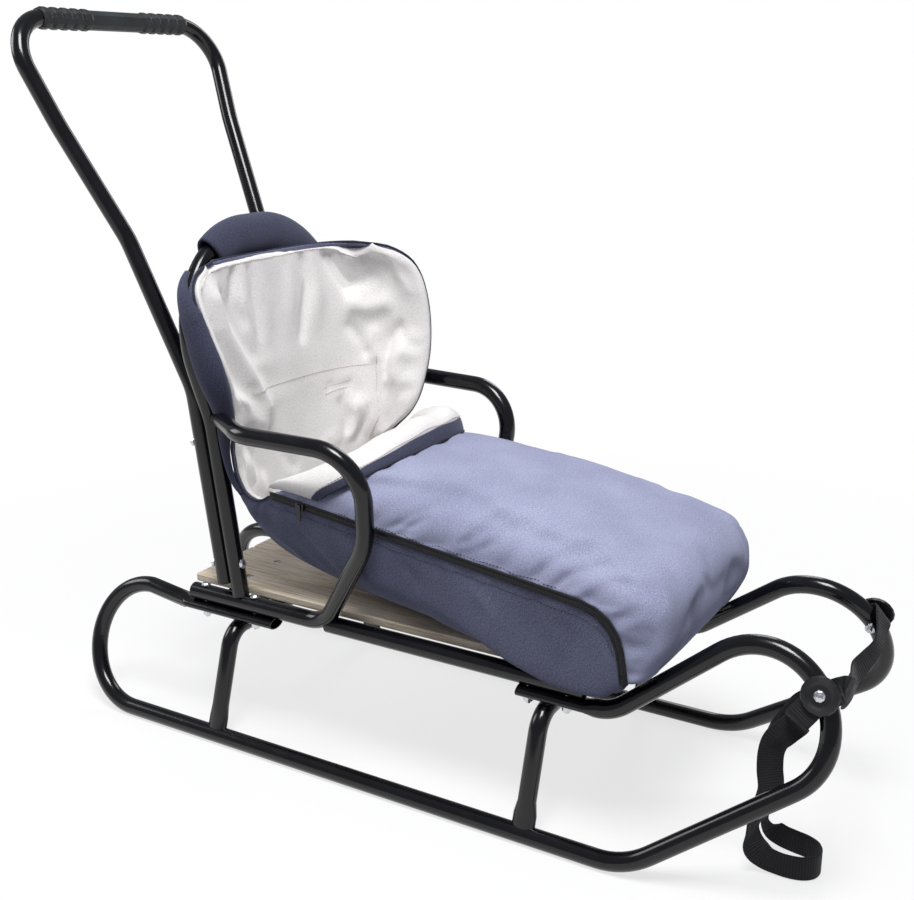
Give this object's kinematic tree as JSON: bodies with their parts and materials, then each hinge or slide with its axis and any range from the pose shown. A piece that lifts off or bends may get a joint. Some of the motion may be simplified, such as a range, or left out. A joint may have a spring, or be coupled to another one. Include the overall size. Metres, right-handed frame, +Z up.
{
  "type": "sled stroller",
  "caption": "Child's sled with bent tube runners, slatted seat, backrest hoop, push handle, armrests, a footmuff whose apron folds open, and a webbing pull strap.",
  "frame": {"origin": "on the ground below the middle of the sled's length and width, the pull strap left out", "axes": "+Z up; +Y towards the push handle, the child faces -Y; +X is the child's left"},
  "size_m": [0.367, 0.9775, 0.8438],
  "materials": {
    "black_painted_steel": "glossy black powder coat on steel tube",
    "black_rubber": "matt black foam rubber, ribbed at both ends",
    "pale_wood": "planed pale softwood, clear matt varnish",
    "zinc_steel": "bright plated steel",
    "black_plastic": "fine matt black moulded plastic",
    "black_webbing": "black woven polyester tape",
    "grey_melange_fabric": "blue-grey melange woven cloth",
    "cream_fleece": "cream napped fleece"
  },
  "bodies": {
    "sled": {"arch_front": "black_painted_steel", "arch_rear": "black_painted_steel", "armrest_left": "black_painted_steel", "armrest_right": "black_painted_steel", "backrest_hoop": "black_painted_steel", "handle_bolt_high_left": "zinc_steel", "handle_bolt_high_right": "zinc_steel", "handle_bolt_low_left": "zinc_steel", "handle_bolt_low_right": "zinc_steel", "handle_grip": "black_rubber", "handle_plug_left": "black_plastic", "handle_plug_right": "black_plastic", "muff_back": "grey_melange_fabric", "muff_base": "grey_melange_fabric", "muff_foot": "grey_melange_fabric", "muff_lining": "cream_fleece", "muff_pocket": "grey_melange_fabric", "nose_bolt_left": "zinc_steel", "nose_bolt_right": "zinc_steel", "nose_washer_left": "black_plastic", "nose_washer_right": "black_plastic", "pull_strap": "black_webbing", "push_handle": "black_painted_steel", "rail_bolt_1_left": "zinc_steel", "rail_bolt_1_right": "zinc_steel", "rail_bolt_2_left": "zinc_steel", "rail_bolt_2_right": "zinc_steel", "rail_bolt_3_left": "zinc_steel", "rail_bolt_3_right": "zinc_steel", "rail_bolt_4_left": "zinc_steel", "rail_bolt_4_right": "zinc_steel", "rail_plug_left": "black_plastic", "rail_plug_right": "black_plastic", "runner_left": "black_painted_steel", "runner_right": "black_painted_steel", "seat_rail_left": "black_painted_steel", "seat_rail_right": "black_painted_steel", "seat_slat_1": "pale_wood", "seat_slat_2": "pale_wood", "seat_slat_3": "pale_wood", "seat_slat_4": "pale_wood", "slat_bar_front": "black_painted_steel", "slat_bar_rear": "black_painted_steel", "slat_screw_1_front": "zinc_steel", "slat_screw_1_rear": "zinc_steel", "slat_screw_2_front": "zinc_steel", "slat_screw_2_rear": "zinc_steel", "slat_screw_3_front": "zinc_steel", "slat_screw_3_rear": "zinc_steel", "slat_screw_4_front": "zinc_steel", "slat_screw_4_rear": "zinc_steel", "zip_tape_left": "black_webbing", "zip_tape_right": "black_webbing"},
    "apron": {"muff_apron": "grey_melange_fabric", "apron_collar": "cream_fleece"},
    "zip_slider_right": {"zip_slider_right": "zinc_steel"},
    "zip_slider_left": {"zip_slider_left": "zinc_steel"},
    "zip_pull_right": {"zip_pull_right": "zinc_steel"},
    "zip_pull_left": {"zip_pull_left": "zinc_steel"}
  },
  "joints": [
    {"name": "apron_open", "type": "hinge", "parent": "sled", "child": "apron", "pos_m": [0, -0.2454, 0.3128], "axis": [1, 0, 0], "range_deg": [0, 110]},
    {"name": "zip_slide_left", "type": "slide", "parent": "sled", "child": "zip_slider_left", "axis": [0.0288, -0.9937, -0.1081], "range_m": [0, 0.33]},
    {"name": "zip_slide_right", "type": "slide", "parent": "sled", "child": "zip_slider_right", "axis": [-0.0288, -0.9937, -0.1081], "range_m": [0, 0.33]},
    {"name": "zip_pull_turn_left", "type": "hinge", "parent": "zip_slider_left", "child": "zip_pull_left", "pos_m": [0.1339, 0.1151, 0.3061], "axis": [1, 0, 0], "range_deg": [-50, 50]},
    {"name": "zip_pull_turn_right", "type": "hinge", "parent": "zip_slider_right", "child": "zip_pull_right", "pos_m": [-0.1339, 0.1151, 0.3061], "axis": [1, 0, 0], "range_deg": [-50, 50]}
  ]
}
